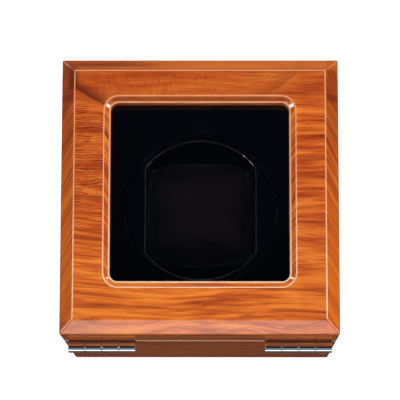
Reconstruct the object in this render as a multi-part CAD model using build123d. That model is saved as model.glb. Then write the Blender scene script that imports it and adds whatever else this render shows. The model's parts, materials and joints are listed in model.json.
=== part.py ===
from build123d import *
from math import acos, cos, pi, radians, sin, sqrt, tan
import os

# Watch winder in a square veneered box with a window in its hinged lid.
# Millimetres. The box lies on its back, lid up: +Z leaves the lid, -Y is the hinge side,
# +Y is the front edge that carries the magnets, and the origin is the middle of the underside.

# Case
case_width = 135.0            # along X
case_length = 135.0           # along Y
wall_height = 88.0
board = 10.0                  # thickness of the case walls and of the lid rails
corner_radius = 0.8           # upright outer corners and the ridges of the lid's bevel
edge_radius = 0.8             # rounded edges each side of the joint line
felt_thickness = 1.5
felt_inset = 2.0              # felt edge to the walls' outer faces
bottom_thickness = 5.0
bottom_lap = 5.0              # how far the bottom panel runs under the walls
bottom_clearance = 0.2

# Lid
lid_gap = 0.3                 # joint line between case and lid
lid_height = 36.5
panel_thickness = 12.0
lid_bevel = 6.5
stile_width = 14.5            # flat face left and right of the window
hinge_rail_width = 15.6
front_rail_width = 12.7
window_bevel = 2.8
window_bevel_depth = 2.75
window_corner = 4.4
window_edge_radius = 0.5      # rounded edges above and below the window's bevel
pane_depth = 9.3              # lid's top face to the pane
pane_thickness = 2.5
pane_lap = 2.9                # how far the pane runs behind the opening's edge
pane_clearance = 0.3
retainer_thickness = 2.8
retainer_setback = 0.6
lining_thickness = 2.0
lining_clearance = 0.1
lip_clearance = 0.4           # case lining to the lid rails, which pass it when the lid swings
lip_height = 3.5              # how far the case lining stands above the walls

# Fascia
fascia_height = 72.0          # top face above the floor
fascia_thickness = 3.0
fascia_clearance = 0.2
drum_gap = 1.75               # drum to the edge of the fascia's hole
cleat_section = 6.0

# Drum and cushion
drum_radius = 37.5
drum_wall = 2.5
drum_rim = 75.8
drum_floor_bottom = 30.0
drum_floor = 3.0
slot_width = 55.0
slot_corner = 1.2
rim_radius = 0.9
ledge_width = 2.0
ledge_height = 3.0
ledge_length = 30.0
cushion_clearance = 0.3       # cushion to the cheeks and ledges
cushion_bottom = 41.5
cushion_top = 73.5
strap_gap = 8.0               # crown of the cushion to the drum's wall, where a strap passes
cushion_draw = 3.2            # how far the ends are drawn in at top and bottom
boss_radius = 2.75
boss_height = 14.0
drum_screw_reach = 9.0        # drum screws to the middle plane Y = 0

# Gear train
gear_module = 1.0
gear_teeth = 84
pinion_teeth = 18
pressure_angle = radians(20)
backlash = 0.25
centre_extra = 0.1            # added to the working distance so that tips stay clear
gear_thickness = 5.0
web_thickness = 2.5
gear_rim = 3.0                # root circle to the inside of the rim
hub_radius = 7.0
rib_thickness = 1.6
lightening_count = 6
lightening_radius = 5.0
pinion_overlap = 0.4          # pinion wider than the gear on each face
pinion_hub_radius = 5.5
pinion_hub_height = 1.1

# Spindle, bushes and washer
spindle_radius = 3.0
running_clearance = 0.05      # radial, wherever a shaft turns in a hole
push_clearance = 0.02         # radial, wherever a fixed pin or bush is pushed home
bush_radius = 4.5
bush_flange_radius = 6.0
bush_flange = 1.0
bush_length = 5.2
washer_thickness = 0.8
bush_to_washer = 0.1
spindle_flange_radius = 9.0
spindle_flange = 2.0
clip_thickness = 0.8
clip_radius = 5.0
groove_depth = 0.7
clip_play = 0.2
spindle_tip = 1.6             # spindle above the clip

# Mounting plate and motor
plate_gap = 1.0               # plate to the case walls
plate_corner = 4.0
plate_thickness = 3.0
plate_underside = 17.5
standoff_inset = 4.2          # standoff axes to the inner faces of the walls
standoff_size = 7.0           # hexagonal standoffs, across flats
stud_radius = 2.0
stud_length = 4.0
screw_radius = 1.5
screw_head_radius = 2.5
screw_head_height = 2.0
screw_length = 9.0
motor_angle = radians(45)     # direction of the motor from the spindle
gearbox_radius = 12.0
gearbox_height = 16.0
motor_radius = 10.0
motor_headroom = 5.0          # motor's end to the fascia board
motor_room = 1.0              # gearbox to the cleats beside it
motor_boss_radius = 4.0
motor_shaft_radius = 2.0
motor_shaft_grip = 7.0        # shaft length inside the gearbox
shaft_flat = 1.5              # flat of the D-shaped shaft from its axis
bracket_underside = 32.0
bracket_thickness = 2.0
spacer_size = 6.0             # hexagonal spacers, across flats
spacer_inner = 25.5           # the two outer spacers, along the walls from the middle planes
motor_screw_reach = 8.5

# Controls
recess_length = 62.0
recess_width = 20.0
recess_corner = 3.0
recess_setback = 29.5         # middle of the recess to the case's front face
control_plate_margin = 6.0
control_plate_thickness = 2.0
control_spacing = 20.0
knob_radius = 6.0
knob_disc = 2.0
knob_recess = 1.0             # knob face above the floor
knob_gap = 0.3
grip_width = 3.0
knob_stem_radius = 1.5
switch_size = 11.0
control_depth = 5.3           # control plate to circuit board
board_length = 60.0
board_width = 22.0
board_thickness = 1.6
board_boss_radius = 2.5
small_screw_radius = 1.0
small_head_radius = 1.9
small_head_height = 1.1
jack_width = 9.0
jack_length = 11.0
jack_barrel_radius = 4.0
jack_bore_radius = 2.85
jack_pin_radius = 1.0
jack_recess = 3.0             # jack mouth above the floor
lead_radius = 0.8
lead_clearance = 0.5          # lead to the gearbox

# Hinges and magnets
hinge_length = 33.0
hinge_inset = 19.0            # middle of each hinge to the side of the case
knuckle_count = 4
knuckle_gap = 0.15
barrel_radius = 2.9
barrel_standoff = 0.15        # barrel to the wall's face
leaf_thickness = 1.1
leaf_reach = 8.5              # leaf let into the board
leaf_clearance = 0.1
notch_clearance = 0.25        # leaf to the other leaf's knuckles
hinge_pin_radius = 0.8
hinge_screw_offset = 10.0
hinge_screw_radius = 0.9
hinge_screw_head = 1.8
hinge_screw_length = 8.0
magnet_radius = 3.0
magnet_depth = 2.5
magnet_offset = 40.0

# Levels and sizes that follow from the values above
wall_bottom = felt_thickness
wall_top = wall_bottom + wall_height
lid_bottom = wall_top + lid_gap
lid_top = lid_bottom + lid_height
panel_bottom = lid_top - panel_thickness
inside_width = case_width - 2 * board
inside_length = case_length - 2 * board
window_width = case_width - 2 * (lid_bevel + stile_width + window_bevel)
window_length = (case_length - 2 * lid_bevel - hinge_rail_width - front_rail_width
                 - 2 * window_bevel)
window_y = (hinge_rail_width - front_rail_width) / 2
bottom_top = wall_bottom + bottom_thickness
fascia_bottom = fascia_height - fascia_thickness
plate_top = plate_underside + plate_thickness
gear_top = drum_floor_bottom
gear_bottom = gear_top - gear_thickness
floor_top = drum_floor_bottom + drum_floor
gear_radius = gear_module * gear_teeth / 2
pinion_radius = gear_module * pinion_teeth / 2
centre_distance = gear_radius + pinion_radius + centre_extra
motor_x = centre_distance * cos(motor_angle)
motor_y = centre_distance * sin(motor_angle)
bracket_top = bracket_underside + bracket_thickness
motor_end = fascia_bottom - motor_headroom
standoff_x = inside_width / 2 - standoff_inset
standoff_y = inside_length / 2 - standoff_inset
recess_y = case_length / 2 - recess_setback
hinge_offset = case_width / 2 - hinge_inset
hinge_y = -(case_length / 2 + barrel_standoff + barrel_radius)
hinge_z = (wall_top + lid_bottom) / 2
inner_radius = drum_radius - drum_wall
cheek_x = slot_width / 2
drum_screw_x = (cheek_x + drum_wall + sqrt(inner_radius ** 2 - drum_screw_reach ** 2)) / 2
control_plate_top = bottom_top + control_plate_thickness
circuit_bottom = control_plate_top + control_depth
circuit_top = circuit_bottom + board_thickness

pieces = {}


def block(width, length, height, x=0.0, y=0.0, z=0.0):
    return Pos(x, y, z + height / 2) * Box(width, length, height)


def post(radius, height, x=0.0, y=0.0, z=0.0):
    return Pos(x, y, z + height / 2) * Cylinder(radius, height)


def hexagon(across_flats, height, x=0.0, y=0.0, z=0.0):
    outline = RegularPolygon(across_flats / 2, 6, major_radius=False)
    return extrude(Pos(x, y, z) * outline, amount=height)


def rounded_block(width, length, height, radius, x=0.0, y=0.0, z=0.0):
    return extrude(Pos(x, y, z) * RectangleRounded(width, length, radius), amount=height)


def frame(outer, inner, height, z):
    return block(*outer, height, z=z) - block(*inner, height, z=z)


def corners(reach_x, reach_y, y=0.0):
    return [(sx * reach_x, y + sy * reach_y) for sx in (-1, 1) for sy in (-1, 1)]


def pan_screw(radius, length, head_radius, head_height, x, y, z):
    # The underside of the head lies at z and the shank runs down from it.
    return post(radius, length, x, y, z - length) + post(head_radius, head_height, x, y, z)


def countersunk(x, y, z, side, extra=0.0):
    # A screw whose flat head lies at z; side is -1 where it runs down and 1 where it runs up.
    head_height = leaf_thickness * 0.8
    head = Cone(hinge_screw_radius + extra, hinge_screw_head + extra, head_height)
    shank = Cylinder(hinge_screw_radius + extra, hinge_screw_length)
    body = Pos(0, 0, -head_height / 2) * head + Pos(0, 0, -hinge_screw_length / 2) * shank
    if side > 0:
        body = Rot(180, 0, 0) * body
    return Pos(x, y, z) * body


# Case walls: one ring with rounded corners, cut into four boards along its mitres

def mitre_wedge(side_x, side_y, bottom, height):
    over = 1.0
    reach = board + over
    far_x, far_y = case_width / 2 + over, case_length / 2 + over
    near_x, near_y = case_width / 2 - reach, case_length / 2 - reach
    if side_y:
        outline = [(-far_x, far_y), (far_x, far_y), (near_x, near_y), (-near_x, near_y)]
        outline = [(x, y * side_y) for x, y in outline]
    else:
        outline = [(far_x, -far_y), (far_x, far_y), (near_x, near_y), (near_x, -near_y)]
        outline = [(x * side_x, y) for x, y in outline]
    face = make_face(Polyline(*outline, close=True))
    return Pos(0, 0, bottom) * extrude(face, amount=height, dir=(0, 0, 1))


def board_ring(bottom, height, rounded_top):
    ring = rounded_block(case_width, case_length, height, corner_radius, z=bottom)
    level = bottom + height if rounded_top else bottom
    rim = [edge for edge in ring.edges() if abs(edge.bounding_box().min.Z - level) < 0.01
           and abs(edge.bounding_box().max.Z - level) < 0.01]
    ring = fillet(rim, edge_radius)
    return ring - block(inside_width, inside_length, height, z=bottom)


sides = {"hinge": (0, -1), "front": (0, 1), "left": (-1, 0), "right": (1, 0)}
hinge_sides = {"left": -1, "right": 1}
magnet_y = (case_length - board) / 2
leaf_screws = [(sx * hinge_offset + dx, -case_length / 2 + leaf_reach / 2)
               for sx in (-1, 1) for dx in (-hinge_screw_offset, hinge_screw_offset)]


def leaf_mortise(sx, z):
    depth = leaf_reach + leaf_clearance
    return block(hinge_length + 2 * leaf_clearance, depth, leaf_thickness,
                 sx * hinge_offset, -case_length / 2 + depth / 2, z)


case_ring = board_ring(wall_bottom, wall_height, True)
case_ring -= block(inside_width + 2 * bottom_lap, inside_length + 2 * bottom_lap,
                   bottom_thickness, z=wall_bottom)
for sx in hinge_sides.values():
    case_ring -= leaf_mortise(sx, wall_top - leaf_thickness)
    case_ring -= post(magnet_radius + push_clearance, magnet_depth,
                      sx * magnet_offset, magnet_y, wall_top - magnet_depth)
for x, y in leaf_screws:
    case_ring -= countersunk(x, y, wall_top, -1, push_clearance)
for name, (side_x, side_y) in sides.items():
    pieces[f"case_wall_{name}"] = case_ring & mitre_wedge(side_x, side_y, wall_bottom, wall_height)

# Lid rails, mitred like the walls

rail_height = panel_bottom - lid_bottom
lid_ring = board_ring(lid_bottom, rail_height, False)
for sx in hinge_sides.values():
    lid_ring -= leaf_mortise(sx, lid_bottom)
    lid_ring -= post(magnet_radius + push_clearance, magnet_depth,
                     sx * magnet_offset, magnet_y, lid_bottom)
for x, y in leaf_screws:
    lid_ring -= countersunk(x, y, lid_bottom, 1, push_clearance)
for name, (side_x, side_y) in sides.items():
    pieces[f"lid_rail_{name}"] = lid_ring & mitre_wedge(side_x, side_y, lid_bottom, rail_height)

# Lid top panel with its broad bevel and the bevelled window

panel = block(case_width, case_length, panel_thickness, z=panel_bottom)
panel = chamfer(panel.faces().sort_by(Axis.Z)[-1].edges(), lid_bevel)
ridges = panel.edges().filter_by(lambda edge: edge.center().Z > panel_bottom + 0.01)
panel = fillet(ridges, corner_radius)
opening = rounded_block(window_width, window_length, panel_thickness, window_corner,
                        y=window_y, z=panel_bottom)
bevel_cut = loft([
    Pos(0, window_y, lid_top) * RectangleRounded(window_width + 2 * window_bevel,
                                                 window_length + 2 * window_bevel,
                                                 window_corner + window_bevel),
    Pos(0, window_y, lid_top - window_bevel_depth) * RectangleRounded(window_width, window_length,
                                                                     window_corner),
], ruled=True)
pane_width = window_width + 2 * pane_lap
pane_length = window_length + 2 * pane_lap
pane_top = lid_top - pane_depth
rabbet = rounded_block(pane_width + 2 * pane_clearance, pane_length + 2 * pane_clearance,
                       pane_top - panel_bottom, window_corner, y=window_y, z=panel_bottom)
panel -= opening + bevel_cut
bevel_levels = (lid_top, lid_top - window_bevel_depth)
inside_ridges = (case_width / 2 - lid_bevel - stile_width / 2, case_length / 2 - lid_bevel
                 - front_rail_width / 2)
window_edges = [edge for edge in panel.edges() for level in bevel_levels
                if edge.bounding_box().min.Z > level - 0.01
                and edge.bounding_box().max.Z < level + 0.01
                and abs(edge.center().X) < inside_ridges[0]
                and abs(edge.center().Y) < inside_ridges[1]]
panel = fillet(window_edges, window_edge_radius)
pieces["lid_top_panel"] = panel - rabbet
pieces["window_pane"] = rounded_block(pane_width, pane_length, pane_thickness, window_corner,
                                      y=window_y, z=pane_top - pane_thickness)

retainer_bottom = panel_bottom - retainer_thickness
retainer = block(inside_width - 2 * fascia_clearance, inside_length - 2 * fascia_clearance,
                 retainer_thickness, z=retainer_bottom)
pieces["pane_retainer"] = retainer - rounded_block(
    window_width + 2 * retainer_setback, window_length + 2 * retainer_setback,
    retainer_thickness, window_corner, y=window_y, z=retainer_bottom)

# Linings: the case's ring stands proud of the walls as the lip that locates the lid

lip_top = wall_top + lip_height
case_lining_outer = (inside_width - 2 * lip_clearance, inside_length - 2 * lip_clearance)
case_lining_inner = tuple(size - 2 * lining_thickness for size in case_lining_outer)
case_lining = frame(case_lining_outer, case_lining_inner, lip_top - fascia_height, fascia_height)
lip_edges = case_lining.edges().filter_by(lambda edge: edge.center().Z > lip_top - 0.01)
pieces["case_lining"] = fillet(lip_edges, lining_thickness * 0.4)

lid_lining_bottom = lip_top + lip_clearance
lid_lining_outer = (inside_width - 2 * lining_clearance, inside_length - 2 * lining_clearance)
lid_lining_inner = tuple(size - 2 * lining_thickness for size in lid_lining_outer)
pieces["lid_lining"] = frame(lid_lining_outer, lid_lining_inner,
                             retainer_bottom - lid_lining_bottom, lid_lining_bottom)

# Bottom panel, felt and the control recess that goes through both

panel_width = inside_width + 2 * (bottom_lap - bottom_clearance)
panel_length = inside_length + 2 * (bottom_lap - bottom_clearance)
bottom_panel = block(panel_width, panel_length, bottom_thickness, z=wall_bottom)
bottom_panel -= rounded_block(recess_length, recess_width, bottom_thickness, recess_corner,
                              y=recess_y, z=wall_bottom)
standoffs = corners(standoff_x, standoff_y)
control_screws = [(sx * (recess_length + control_plate_margin) / 2, recess_y) for sx in (-1, 1)]
control_screw_length = control_plate_thickness + bottom_thickness * 0.6
for x, y in standoffs:
    bottom_panel -= post(stud_radius + push_clearance, stud_length, x, y, bottom_top - stud_length)
for x, y in control_screws:
    bottom_panel -= post(small_screw_radius + push_clearance, bottom_thickness * 0.7,
                         x, y, bottom_top - bottom_thickness * 0.7)
pieces["bottom_panel"] = bottom_panel

felt = rounded_block(case_width - 2 * felt_inset, case_length - 2 * felt_inset, felt_thickness,
                     corner_radius)
pieces["base_felt"] = felt - rounded_block(recess_length + 2 * felt_inset,
                                           recess_width + 2 * felt_inset, felt_thickness,
                                           recess_corner, y=recess_y)

# Fascia board round the drum, on cleats glued to the walls

fascia = block(inside_width - 2 * fascia_clearance, inside_length - 2 * fascia_clearance,
               fascia_thickness, z=fascia_bottom)
fascia -= post(drum_radius + drum_gap, fascia_thickness, z=fascia_bottom)
hole_edge = fascia.edges().filter_by(GeomType.CIRCLE).sort_by(Axis.Z)[-1]
pieces["fascia_board"] = chamfer(hole_edge, fascia_thickness * 0.3)

cleat_length = 2 * (motor_y - gearbox_radius - motor_room)
cleats = []
for side_x, side_y in sides.values():
    size_x = cleat_section if side_x else cleat_length
    size_y = cleat_section if side_y else cleat_length
    cleats.append(block(size_x, size_y, cleat_section,
                        side_x * (inside_width - cleat_section) / 2,
                        side_y * (inside_length - cleat_section) / 2,
                        fascia_bottom - cleat_section))
pieces["fascia_cleats"] = Compound(children=cleats)

# Involute gears: each flank is two straight cuts between points of the true involute, which
# lie within 0.02 mm of it


def polar(radius, angle):
    return (radius * cos(angle), radius * sin(angle))


def involute(angle):
    return tan(angle) - angle


def gear_outline(teeth, phase):
    pitch = gear_module * teeth / 2
    base = pitch * cos(pressure_angle)
    tip = pitch + gear_module
    root = pitch - 1.25 * gear_module
    tooth_half = (pi * gear_module / 2 - backlash / 2) / (2 * pitch)

    def half_angle(radius):
        return tooth_half + involute(pressure_angle) - involute(acos(min(1, base / radius)))

    start = max(base, root)
    middle = (start + tip) / 2
    step = 2 * pi / teeth
    edges = []
    for tooth in range(teeth):
        axis = phase + tooth * step
        for side in (-1, 1):
            flank = [polar(radius, axis + side * half_angle(radius))
                     for radius in (start, middle, tip)]
            if root < base:
                flank.insert(0, polar(root, axis + side * half_angle(start)))
            edges += Polyline(*flank).edges()
        edges.append(Line(polar(tip, axis - half_angle(tip)), polar(tip, axis + half_angle(tip))))
        edges.append(Line(polar(root, axis + half_angle(start)),
                          polar(root, axis + step - half_angle(start))))
    return make_face(edges)


# Drum gear: toothed rim, thin ribbed web and the hub that carries the bushes

gear_tip = gear_radius + gear_module
rim_inside = gear_radius - 1.25 * gear_module - gear_rim
hub_bottom = plate_top + washer_thickness + bush_to_washer + bush_flange
hub_top = floor_top
gear = Pos(0, 0, gear_bottom) * extrude(gear_outline(gear_teeth, motor_angle + pi / gear_teeth),
                                       amount=gear_thickness, dir=(0, 0, 1))
web_bottom = gear_top - web_thickness
gear -= post(rim_inside, gear_thickness - web_thickness, z=gear_bottom)
for index in range(lightening_count):
    turn = Rot(0, 0, index * 360 / lightening_count)
    rib_length = rim_inside - hub_radius + 1
    gear += turn * block(rib_length, rib_thickness, gear_thickness - web_thickness / 2,
                         (rim_inside + hub_radius) / 2, 0, gear_bottom)
    hole_turn = Rot(0, 0, (index + 0.5) * 360 / lightening_count)
    gear -= hole_turn * post(lightening_radius, gear_thickness, (rim_inside + hub_radius) / 2, 0,
                             gear_bottom)
gear += post(hub_radius, hub_top - hub_bottom, z=hub_bottom)
gear -= post(bush_radius + push_clearance, hub_top - hub_bottom, z=hub_bottom)
drum_screws = corners(drum_screw_x, drum_screw_reach)
for x, y in drum_screws:
    gear -= post(small_screw_radius + running_clearance, gear_thickness, x, y, gear_bottom)
pieces["drum_gear"] = gear


def flanged_bush(flange_z, tube_z):
    flange = post(bush_flange_radius, bush_flange, z=flange_z)
    tube = post(bush_radius, bush_length, z=tube_z)
    bore_z = min(flange_z, tube_z)
    bore = post(spindle_radius + running_clearance, bush_length + bush_flange, z=bore_z)
    return flange + tube - bore


pieces["lower_bush"] = flanged_bush(hub_bottom - bush_flange, hub_bottom)
pieces["upper_bush"] = flanged_bush(hub_top, hub_top - bush_length)

# Fixed spindle with its washer and clip

washer = post(bush_flange_radius, washer_thickness, z=plate_top)
pieces["thrust_washer"] = washer - post(spindle_radius + push_clearance, washer_thickness,
                                        z=plate_top)
clip_bottom = hub_top + bush_flange + clip_play
groove_radius = spindle_radius - groove_depth
spindle_bottom = plate_underside - spindle_flange
spindle_end = clip_bottom + clip_thickness + spindle_tip
spindle = post(spindle_radius, spindle_end - spindle_bottom, z=spindle_bottom)
spindle = chamfer(spindle.edges().sort_by(Axis.Z)[-1], groove_depth)
spindle += post(spindle_flange_radius, spindle_flange, z=spindle_bottom)
groove = post(spindle_radius + 1, clip_thickness + 2 * push_clearance,
              z=clip_bottom - push_clearance)
groove -= post(groove_radius, clip_thickness + 2 * push_clearance, z=clip_bottom - push_clearance)
pieces["spindle"] = spindle - groove

clip = post(clip_radius, clip_thickness, z=clip_bottom)
clip -= post(groove_radius + push_clearance, clip_thickness, z=clip_bottom)
pieces["spindle_clip"] = clip - block(clip_radius, 1.6 * groove_radius, clip_thickness,
                                      clip_radius / 2, 0, clip_bottom)

# Drum: a moulded cup with a slot between two cheeks that are hollow from below

slot = post(inner_radius, drum_rim - floor_top, z=floor_top)
slot &= block(slot_width, 2 * drum_radius, drum_rim - floor_top, z=floor_top)
slot = fillet(slot.edges().filter_by(Axis.Z), slot_corner)
cup = post(drum_radius, drum_rim - drum_floor_bottom, z=drum_floor_bottom)
cup = fillet(cup.edges().filter_by(GeomType.CIRCLE).sort_by(Axis.Z)[-1], rim_radius)
cup -= slot
slot_rim = cup.faces().filter_by(Axis.Z).sort_by(Axis.Z)[-1].inner_wires()[0]
cup = fillet(slot_rim.edges(), rim_radius * 0.6)
cheek_height = drum_rim - drum_wall - drum_floor_bottom
cheek_hollow = post(inner_radius, cheek_height, z=drum_floor_bottom)
cheek_hollow -= block(slot_width + 2 * drum_wall, 2 * drum_radius, cheek_height,
                      z=drum_floor_bottom)
cup -= cheek_hollow
for x, y in drum_screws:
    boss = post(boss_radius, boss_height, x, y, drum_floor_bottom)
    cup += boss & post(drum_radius - drum_wall / 2, boss_height, z=drum_floor_bottom)
for x, y in drum_screws:
    cup -= post(small_screw_radius + push_clearance, boss_height - 2, x, y, drum_floor_bottom)
cup -= post(hub_radius + bottom_clearance, drum_floor, z=drum_floor_bottom)
ledge_top = cushion_bottom - cushion_clearance
for sx in (-1, 1):
    cup += block(ledge_width + 1, ledge_length, ledge_height,
                 sx * (cheek_x - (ledge_width - 1) / 2), 0, ledge_top - ledge_height)
pieces["drum_cup"] = cup

drum_screw_length = web_thickness + boss_height - 4
pieces["drum_screws"] = Compound(children=[
    Pos(x, y, web_bottom) * Rot(180, 0, 0) * pan_screw(
        small_screw_radius, drum_screw_length, small_head_radius, small_head_height, 0, 0, 0)
    for x, y in drum_screws])

# Cushion: a loft in bands from drawn-in end to full crown and back

cushion_half_height = (cushion_top - cushion_bottom) / 2
cushion_z = (cushion_top + cushion_bottom) / 2
cushion_half_width = cheek_x - cushion_clearance
crown_half_depth = inner_radius - strap_gap
end_half_depth = sqrt((inner_radius - 2 * cushion_clearance) ** 2 - cushion_half_width ** 2)
half_stations = [(0.0, 0.0), (0.3, 0.02), (0.55, 0.1), (0.75, 0.24), (0.88, 0.45), (0.96, 0.72),
                 (1.0, 1.0)]
stations = [(-share, draw) for share, draw in reversed(half_stations)] + half_stations[1:]
sections = []
for share, draw in stations:
    half_depth = crown_half_depth - draw * (crown_half_depth - end_half_depth)
    half_height = cushion_half_height - draw * cushion_draw
    plane = Plane((share * cushion_half_width, 0, cushion_z), x_dir=(0, 1, 0), z_dir=(1, 0, 0))
    sections.append(plane * RectangleRounded(2 * half_depth, 2 * half_height, half_height * 0.72))
pieces["watch_cushion"] = loft(sections, ruled=True)

# Mounting plate on its standoffs

motor_corner = (standoff_x, standoff_y)
spacers = [motor_corner, (standoff_x, spacer_inner), (spacer_inner, standoff_y)]
lead_x, lead_y = motor_x + gearbox_radius + lead_clearance + lead_radius, motor_y
mounting_plate = rounded_block(inside_width - 2 * plate_gap, inside_length - 2 * plate_gap,
                               plate_thickness, plate_corner, z=plate_underside)
mounting_plate -= post(spindle_radius + push_clearance, plate_thickness, z=plate_underside)
for x, y in standoffs + spacers[1:]:
    mounting_plate -= post(screw_radius + push_clearance, plate_thickness, x, y, plate_underside)
lead_slot = rounded_block(6 * lead_radius, 4 * lead_radius, plate_thickness, lead_radius,
                          lead_x - lead_radius, lead_y, plate_underside)
pieces["mounting_plate"] = mounting_plate - lead_slot

standoff_height = plate_underside - bottom_top
pillars = []
for x, y in standoffs:
    pillar = hexagon(standoff_size, standoff_height, x, y, bottom_top)
    pillar += post(stud_radius, stud_length, x, y, bottom_top - stud_length)
    pillars.append(pillar - post(screw_radius + push_clearance, standoff_height - 1, x, y,
                                 bottom_top + 1))
pieces["plate_standoffs"] = Compound(children=pillars)
pieces["plate_screws"] = Compound(children=[
    pan_screw(screw_radius, screw_length, screw_head_radius, screw_head_height, x, y, plate_top)
    for x, y in standoffs if (x, y) != motor_corner])

# Motor bracket: a flat plate cut round the drum, on three spacers

bracket_corner = spacer_size / 2
bracket_width = standoff_x - spacer_inner + 2 * bracket_corner
bracket_length = standoff_y - spacer_inner + 2 * bracket_corner
bracket = rounded_block(bracket_width, bracket_length, bracket_thickness, bracket_corner,
                        (standoff_x + spacer_inner) / 2, (standoff_y + spacer_inner) / 2,
                        bracket_underside)
bracket -= post(drum_radius + drum_gap, bracket_thickness, z=bracket_underside)
bracket -= post(motor_boss_radius + push_clearance, bracket_thickness, motor_x, motor_y,
                bracket_underside)
for x, y in spacers:
    bracket -= post(screw_radius + push_clearance, bracket_thickness, x, y, bracket_underside)
bracket -= post(2 * lead_radius, bracket_thickness, lead_x, lead_y, bracket_underside)
tangent = (-sin(motor_angle), cos(motor_angle))
motor_screws = [(motor_x + side * motor_screw_reach * tangent[0],
                 motor_y + side * motor_screw_reach * tangent[1]) for side in (-1, 1)]
for x, y in motor_screws:
    bracket -= countersunk(x, y, bracket_underside, 1, push_clearance)
pieces["motor_bracket"] = bracket

spacer_height = bracket_underside - plate_top
pieces["bracket_spacers"] = Compound(children=[
    hexagon(spacer_size, spacer_height, x, y, plate_top)
    - post(screw_radius + push_clearance, spacer_height, x, y, plate_top) for x, y in spacers])
bracket_screw_length = bracket_top - plate_underside
bracket_screws = []
for x, y in spacers:
    reach = bracket_screw_length + (screw_length - plate_thickness if (x, y) == motor_corner else 0)
    bracket_screws.append(pan_screw(screw_radius, reach, screw_head_radius, screw_head_height,
                                    x, y, bracket_top))
pieces["bracket_screws"] = Compound(children=bracket_screws)

# Gear motor, its shaft and the pinion

motor = post(gearbox_radius, gearbox_height, motor_x, motor_y, bracket_top)
gearbox_top = bracket_top + gearbox_height
motor += post(motor_radius, motor_end - gearbox_top, motor_x, motor_y, gearbox_top)
motor += post(motor_boss_radius, bracket_thickness, motor_x, motor_y, bracket_underside)
motor = chamfer(motor.edges().filter_by(GeomType.CIRCLE).sort_by(Axis.Z)[-1], 1.0)
for sx in (-1, 1):
    motor += block(0.6, 2.2, 2.5, motor_x + sx * motor_radius * 0.4, motor_y, motor_end)
shaft_top = bracket_top + motor_shaft_grip
motor -= post(motor_shaft_radius + running_clearance, shaft_top + 1 - bracket_underside,
              motor_x, motor_y, bracket_underside)
for x, y in motor_screws:
    motor -= countersunk(x, y, bracket_underside, 1, push_clearance)
pieces["gear_motor"] = motor
pieces["motor_screws"] = Compound(children=[countersunk(x, y, bracket_underside, 1)
                                            for x, y in motor_screws])

pinion_bottom = gear_bottom - pinion_overlap
pinion_top = gear_top + pinion_overlap


def d_shaft(radius, flat, bottom, top):
    shaft = post(radius, top - bottom, motor_x, motor_y, bottom)
    return shaft - block(2 * radius, 2 * radius, pinion_top + pinion_hub_height - bottom,
                         motor_x + flat + radius, motor_y, bottom)


pieces["motor_shaft"] = d_shaft(motor_shaft_radius, shaft_flat, pinion_bottom, shaft_top)
pinion = Pos(motor_x, motor_y, pinion_bottom) * extrude(
    gear_outline(pinion_teeth, motor_angle + pi), amount=pinion_top - pinion_bottom,
    dir=(0, 0, 1))
pinion += post(pinion_hub_radius, pinion_hub_height, motor_x, motor_y, pinion_top)
pinion -= d_shaft(motor_shaft_radius + push_clearance, shaft_flat + push_clearance,
                  pinion_bottom, pinion_top + pinion_hub_height)
pieces["drive_pinion"] = pinion

# Control plate with the circuit board on its two bosses

control_plate = rounded_block(recess_length + 2 * control_plate_margin,
                              recess_width + 2 * control_plate_margin, control_plate_thickness,
                              recess_corner, y=recess_y, z=bottom_top)
boss_x, boss_y = board_length / 2 - board_boss_radius, board_width / 2 - board_boss_radius
board_bosses = [(-boss_x, recess_y - boss_y), (boss_x, recess_y + boss_y)]
for x, y in board_bosses:
    control_plate += post(board_boss_radius, control_depth, x, y, control_plate_top)
    control_plate -= post(small_screw_radius + push_clearance, control_depth, x, y,
                          control_plate_top)
for x, y in control_screws:
    control_plate -= post(small_screw_radius + push_clearance, control_plate_thickness, x, y,
                          bottom_top)
knob_places = {"direction": -control_spacing, "turns": 0.0}
for x in knob_places.values():
    control_plate -= post(knob_stem_radius + knob_gap, control_plate_thickness, x, recess_y,
                          bottom_top)
control_plate -= post(jack_barrel_radius + push_clearance, control_plate_thickness,
                      control_spacing, recess_y, bottom_top)
pieces["control_plate"] = control_plate
pieces["control_plate_screws"] = Compound(children=[
    pan_screw(small_screw_radius, control_screw_length, small_head_radius, small_head_height,
              x, y, control_plate_top) for x, y in control_screws])

circuit_board = block(board_length, board_width, board_thickness, y=recess_y, z=circuit_bottom)
for x, y in board_bosses:
    circuit_board -= post(small_screw_radius + push_clearance, board_thickness, x, y,
                          circuit_bottom)
pieces["circuit_board"] = circuit_board
pieces["controller_chip"] = block(8, 6, 1.2, -control_spacing / 2, recess_y, circuit_top)
pieces["board_screws"] = Compound(children=[
    pan_screw(small_screw_radius, board_thickness + control_depth * 0.7, small_head_radius,
              small_head_height, x, y, circuit_top) for x, y in board_bosses])

stem_top = circuit_bottom - 1.3
knob_top = bottom_top - knob_gap
for name, x in knob_places.items():
    switch = block(switch_size, switch_size, control_depth, x, recess_y, control_plate_top)
    pieces[f"{name}_switch"] = switch - post(knob_stem_radius + running_clearance,
                                             stem_top + 0.1 - control_plate_top, x, recess_y,
                                             control_plate_top)
    knob = post(knob_radius, knob_disc, x, recess_y, knob_top - knob_disc)
    grip = block(grip_width, 2 * knob_radius, knob_top - knob_disc - knob_recess, x, recess_y,
                 knob_recess)
    knob += grip & post(knob_radius, knob_top, x, recess_y, 0)
    pieces[f"{name}_knob"] = knob + post(knob_stem_radius, stem_top - knob_top, x, recess_y,
                                         knob_top)

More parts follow.
